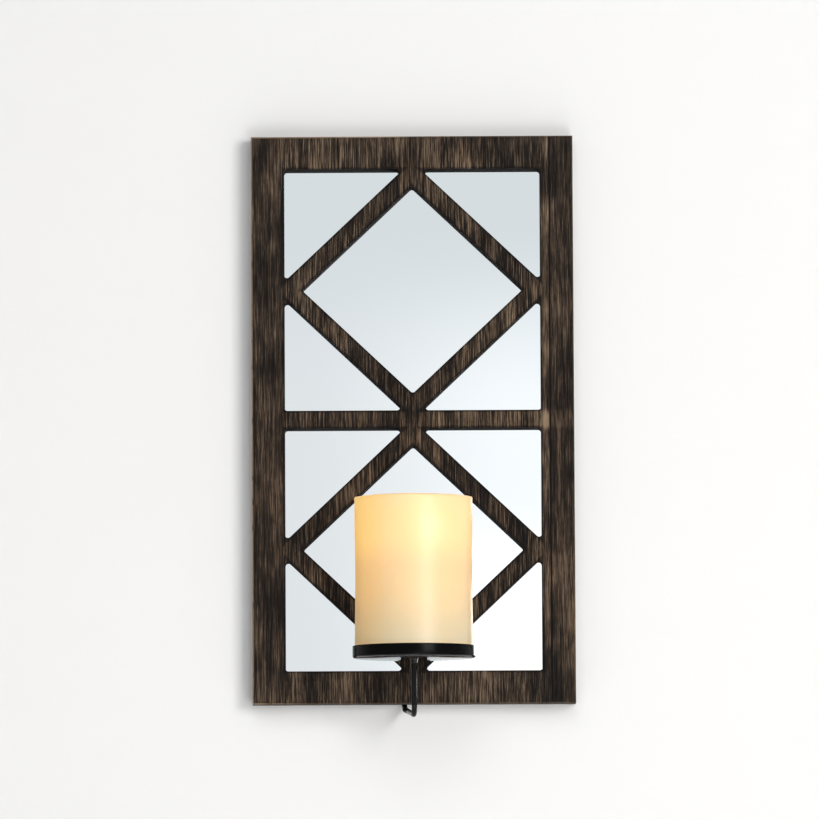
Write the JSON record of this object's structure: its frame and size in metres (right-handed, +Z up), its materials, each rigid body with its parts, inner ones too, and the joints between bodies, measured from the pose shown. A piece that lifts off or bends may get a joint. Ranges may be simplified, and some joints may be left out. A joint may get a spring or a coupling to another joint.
{
  "type": "wall sconce candle holder",
  "caption": "Wall sconce: dark timber lattice of diamonds over a mirror, with a bent black rod that holds a round dish and a lit pillar candle.",
  "frame": {"origin": "midway between the two keyhole entries, on the panel's back face, where wall screws hold the sconce", "axes": "+Z up, +Y into the wall, -Y out of the front, +X to the right seen from the front"},
  "size_m": [0.216, 0.1232, 0.3922],
  "materials": {
    "timber": "dark brown stain, satin, grain upright",
    "mirror": "plain silvered glass",
    "hardboard": "smooth brown hardboard",
    "zinc": "zinc plated",
    "felt": "felt",
    "black_steel": "satin black powder coat",
    "wax": "ivory wax, lit from inside",
    "lens": "translucent",
    "led": "clear amber",
    "circuit": "solder mask",
    "ivory_plastic": "moulded, fine texture",
    "cell": "printed sleeve, plain",
    "spring_steel": "nickel plated",
    "wire": "insulation",
    "switch_case": "tinned",
    "knob": "moulded"
  },
  "bodies": {
    "sconce": {"lattice_panel": "timber", "mirror_glass": "mirror", "backing_board": "hardboard", "glazing_points": "zinc", "keyhole_plates": "zinc", "keyhole_screws": "zinc", "wall_pads": "felt", "arm_rod": "black_steel", "arm_strap": "black_steel", "strap_screws": "zinc", "rod_collar": "black_steel", "candle_dish": "black_steel", "dish_screw": "zinc"},
    "candle": {"wax_sleeve": "wax", "flame_lens": "lens", "led_bulb": "led", "circuit_board": "circuit", "board_screws": "zinc", "base_housing": "ivory_plastic", "battery_cells": "cell", "top_spring": "spring_steel", "contact_tabs": "spring_steel", "lead_wires": "wire", "switch_body": "switch_case"},
    "switch_knob": {"switch_slider": "knob"},
    "cover": {"battery_cover": "ivory_plastic", "bridge_contact": "spring_steel", "cover_spring": "spring_steel"}
  },
  "joints": [
    {"name": "candle_lift", "type": "slide", "parent": "sconce", "child": "candle", "axis": [0, 0, 1], "range_m": [0, 0.12]},
    {"name": "switch_slide", "type": "slide", "parent": "candle", "child": "switch_knob", "axis": [1, 0, 0], "range_m": [0, 0.0024]},
    {"name": "cover_turn", "type": "hinge", "parent": "candle", "child": "cover", "pos_m": [0, -0.081, -0.3055], "axis": [0, 0, -1], "range_deg": [0, 30]}
  ]
}
